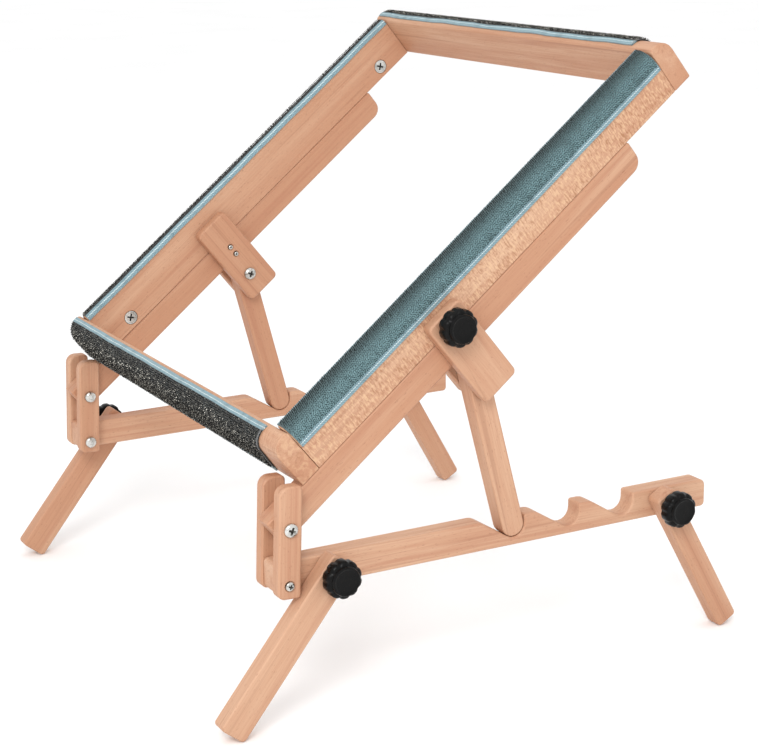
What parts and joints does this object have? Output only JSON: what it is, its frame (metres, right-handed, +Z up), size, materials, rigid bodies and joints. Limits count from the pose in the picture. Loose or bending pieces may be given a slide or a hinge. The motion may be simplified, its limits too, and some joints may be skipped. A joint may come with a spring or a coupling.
{
  "type": "gripper frame on a folding stand",
  "caption": "Square beech gripper frame for punch needle and rug hooking, clamped to a folding stand with struts, notched base beams, splayed legs and star knobs.",
  "frame": {"origin": "on the floor, midway between the two sides, under the lower front edge of the front rail", "axes": "+X to the right, +Y from the low front of the frame to its high back, +Z up"},
  "size_m": [0.5162, 0.4816, 0.5006],
  "materials": {
    "beech": "sanded, bare",
    "dark_pile": "wire pile on cloth",
    "teal_pile": "wire pile on cloth",
    "zinc_steel": "zinc plated",
    "black_plastic": "satin"
  },
  "bodies": {
    "arms": {"left_arm": "beech", "left_outer_clamp_plate": "beech", "left_inner_clamp_plate": "beech", "left_strut_bolt": "zinc_steel", "left_plate_screw_upper": "zinc_steel", "left_plate_screw_lower": "zinc_steel", "right_arm": "beech", "right_outer_clamp_plate": "beech", "right_inner_clamp_plate": "beech", "right_strut_bolt": "zinc_steel", "right_plate_screw_upper": "zinc_steel", "right_plate_screw_lower": "zinc_steel"},
    "gripper_frame": {"front_rail": "beech", "rear_rail": "beech", "left_rail": "beech", "right_rail": "beech", "front_gripper_strip": "dark_pile", "rear_gripper_strip": "dark_pile", "left_gripper_strip": "dark_pile", "right_gripper_strip": "teal_pile", "left_front_cam_lock": "zinc_steel", "left_rear_cam_lock": "zinc_steel", "right_front_cam_lock": "zinc_steel", "right_rear_cam_lock": "zinc_steel"},
    "left_clamp_knob": {"left_clamp_knob": "black_plastic"},
    "left_posts": {"left_outer_post": "beech", "left_inner_post": "beech", "left_arm_bolt": "zinc_steel", "left_arm_nut": "zinc_steel", "left_base_bolt": "zinc_steel", "left_base_nut": "zinc_steel"},
    "left_base": {"left_base_beam": "beech"},
    "left_strut": {"left_strut": "beech"},
    "left_front_leg": {"left_front_leg": "beech"},
    "left_front_leg_knob": {"left_front_leg_knob": "black_plastic"},
    "left_rear_leg": {"left_rear_leg": "beech"},
    "left_rear_leg_knob": {"left_rear_leg_knob": "black_plastic"},
    "right_clamp_knob": {"right_clamp_knob": "black_plastic"},
    "right_posts": {"right_outer_post": "beech", "right_inner_post": "beech", "right_arm_bolt": "zinc_steel", "right_arm_nut": "zinc_steel", "right_base_bolt": "zinc_steel", "right_base_nut": "zinc_steel"},
    "right_base": {"right_base_beam": "beech"},
    "right_strut": {"right_strut": "beech"},
    "right_front_leg": {"right_front_leg": "beech"},
    "right_front_leg_knob": {"right_front_leg_knob": "black_plastic"},
    "right_rear_leg": {"right_rear_leg": "beech"},
    "right_rear_leg_knob": {"right_rear_leg_knob": "black_plastic"}
  },
  "joints": [
    {"name": "frame_lift", "type": "slide", "parent": "arms", "child": "gripper_frame", "axis": [0, -0.6293, 0.7771], "range_m": [0, 0.09]},
    {"name": "left_clamp_screw", "type": "hinge", "parent": "arms", "child": "left_clamp_knob", "pos_m": [-0.216, 0.12365, 0.29719], "axis": [1, 0, 0], "continuous": true},
    {"name": "left_post_fold", "type": "hinge", "parent": "arms", "child": "left_posts", "pos_m": [-0.216, -0.01608, 0.1583], "axis": [1, 0, 0], "range_deg": [0, 45]},
    {"name": "left_base_fold", "type": "hinge", "parent": "left_posts", "child": "left_base", "pos_m": [-0.216, -0.018, 0.11434], "axis": [1, 0, 0], "range_deg": [-90, 0]},
    {"name": "left_strut_fold", "type": "hinge", "parent": "arms", "child": "left_strut", "pos_m": [-0.216, 0.15223, 0.25792], "axis": [1, 0, 0], "range_deg": [-54, 0]},
    {"name": "left_front_leg_fold", "type": "hinge", "parent": "left_base", "child": "left_front_leg", "pos_m": [-0.216, 0.019, 0.11784], "axis": [1, 0, 0], "range_deg": [0, 128]},
    {"name": "left_rear_leg_fold", "type": "hinge", "parent": "left_base", "child": "left_rear_leg", "pos_m": [-0.216, 0.332, 0.11784], "axis": [1, 0, 0], "range_deg": [-119, 60]},
    {"name": "left_front_leg_screw", "type": "hinge", "parent": "left_base", "child": "left_front_leg_knob", "pos_m": [-0.216, 0.019, 0.11784], "axis": [1, 0, 0], "continuous": true},
    {"name": "left_rear_leg_screw", "type": "hinge", "parent": "left_base", "child": "left_rear_leg_knob", "pos_m": [-0.216, 0.332, 0.11784], "axis": [1, 0, 0], "continuous": true},
    {"name": "right_clamp_screw", "type": "hinge", "parent": "arms", "child": "right_clamp_knob", "pos_m": [0.216, 0.12365, 0.29719], "axis": [1, 0, 0], "continuous": true},
    {"name": "right_post_fold", "type": "hinge", "parent": "arms", "child": "right_posts", "pos_m": [0.216, -0.01608, 0.1583], "axis": [1, 0, 0], "range_deg": [0, 45]},
    {"name": "right_base_fold", "type": "hinge", "parent": "right_posts", "child": "right_base", "pos_m": [0.216, -0.018, 0.11434], "axis": [1, 0, 0], "range_deg": [-90, 0]},
    {"name": "right_strut_fold", "type": "hinge", "parent": "arms", "child": "right_strut", "pos_m": [0.216, 0.15223, 0.25792], "axis": [1, 0, 0], "range_deg": [-54, 0]},
    {"name": "right_front_leg_fold", "type": "hinge", "parent": "right_base", "child": "right_front_leg", "pos_m": [0.216, 0.019, 0.11784], "axis": [1, 0, 0], "range_deg": [0, 128]},
    {"name": "right_rear_leg_fold", "type": "hinge", "parent": "right_base", "child": "right_rear_leg", "pos_m": [0.216, 0.332, 0.11784], "axis": [1, 0, 0], "range_deg": [-119, 60]},
    {"name": "right_front_leg_screw", "type": "hinge", "parent": "right_base", "child": "right_front_leg_knob", "pos_m": [0.216, 0.019, 0.11784], "axis": [1, 0, 0], "continuous": true},
    {"name": "right_rear_leg_screw", "type": "hinge", "parent": "right_base", "child": "right_rear_leg_knob", "pos_m": [0.216, 0.332, 0.11784], "axis": [1, 0, 0], "continuous": true}
  ],
  "couplings": [
    {"joint": "left_post_fold", "follows": "left_base_fold", "ratio": -0.5},
    {"joint": "left_strut_fold", "follows": "left_base_fold", "ratio": 0.6},
    {"joint": "right_post_fold", "follows": "right_base_fold", "ratio": -0.5},
    {"joint": "right_strut_fold", "follows": "right_base_fold", "ratio": 0.6}
  ]
}
